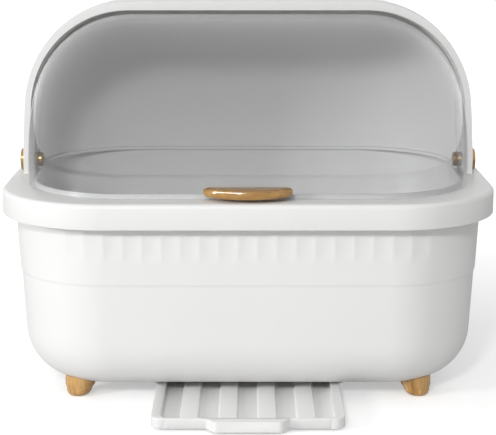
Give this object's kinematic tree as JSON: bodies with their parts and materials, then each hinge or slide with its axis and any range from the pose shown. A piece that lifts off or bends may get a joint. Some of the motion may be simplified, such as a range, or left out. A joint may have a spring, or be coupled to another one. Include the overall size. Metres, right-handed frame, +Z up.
{
  "type": "covered dish drainer",
  "caption": "Covered dish drainer: fluted tub on splayed feet, rim collar, arched cover with a clear swing-up door, lift-out racks, cutlery cup and a sliding drip tray.",
  "frame": {"origin": "middle of the footprint, on the plane that the feet stand on", "axes": "+X to the right as seen from the front, +Y to the back, +Z up"},
  "size_m": [0.46, 0.384, 0.363],
  "materials": {
    "white_plastic": "satin white moulded plastic",
    "clear_plastic": "clear polished plastic",
    "honey_wood": "honey coloured wood grain under gloss",
    "gold_metal": "satin gold",
    "steel": "plain"
  },
  "bodies": {
    "tub": {"tub": "white_plastic", "rim_collar": "white_plastic", "foot_front_left": "honey_wood", "foot_front_right": "honey_wood", "foot_rear_left": "honey_wood", "foot_rear_right": "honey_wood", "foot_screw_front_left": "steel", "foot_screw_front_right": "steel", "foot_screw_rear_left": "steel", "foot_screw_rear_right": "steel", "drain_strainer": "white_plastic", "bowl_rack": "white_plastic", "plate_rack": "white_plastic", "plate_pegs_left": "white_plastic", "plate_pegs_right": "white_plastic", "cutlery_cup": "white_plastic", "tray_rail_left": "white_plastic", "tray_rail_right": "white_plastic"},
    "lid": {"back_cover": "white_plastic", "hinge_cap_left": "gold_metal", "hinge_cap_right": "gold_metal", "hinge_pin_left": "steel", "hinge_pin_right": "steel", "hinge_washer_left": "white_plastic", "hinge_washer_right": "white_plastic", "hinge_nut_left": "gold_metal", "hinge_nut_right": "gold_metal"},
    "door": {"door": "clear_plastic", "door_handle": "honey_wood", "handle_screw_left": "steel", "handle_screw_right": "steel"},
    "tray": {"drip_tray": "white_plastic"}
  },
  "joints": [
    {"name": "lid_lift", "type": "slide", "parent": "tub", "child": "lid", "axis": [0, 0, 1], "range_m": [0, 0.18]},
    {"name": "door_hinge", "type": "hinge", "parent": "lid", "child": "door", "pos_m": [0, 0.023, 0.207], "axis": [-1, 0, 0], "range_deg": [0, 78]},
    {"name": "tray_slide", "type": "slide", "parent": "tub", "child": "tray", "axis": [0, -1, 0], "range_m": [-0.058, 0.09]}
  ]
}
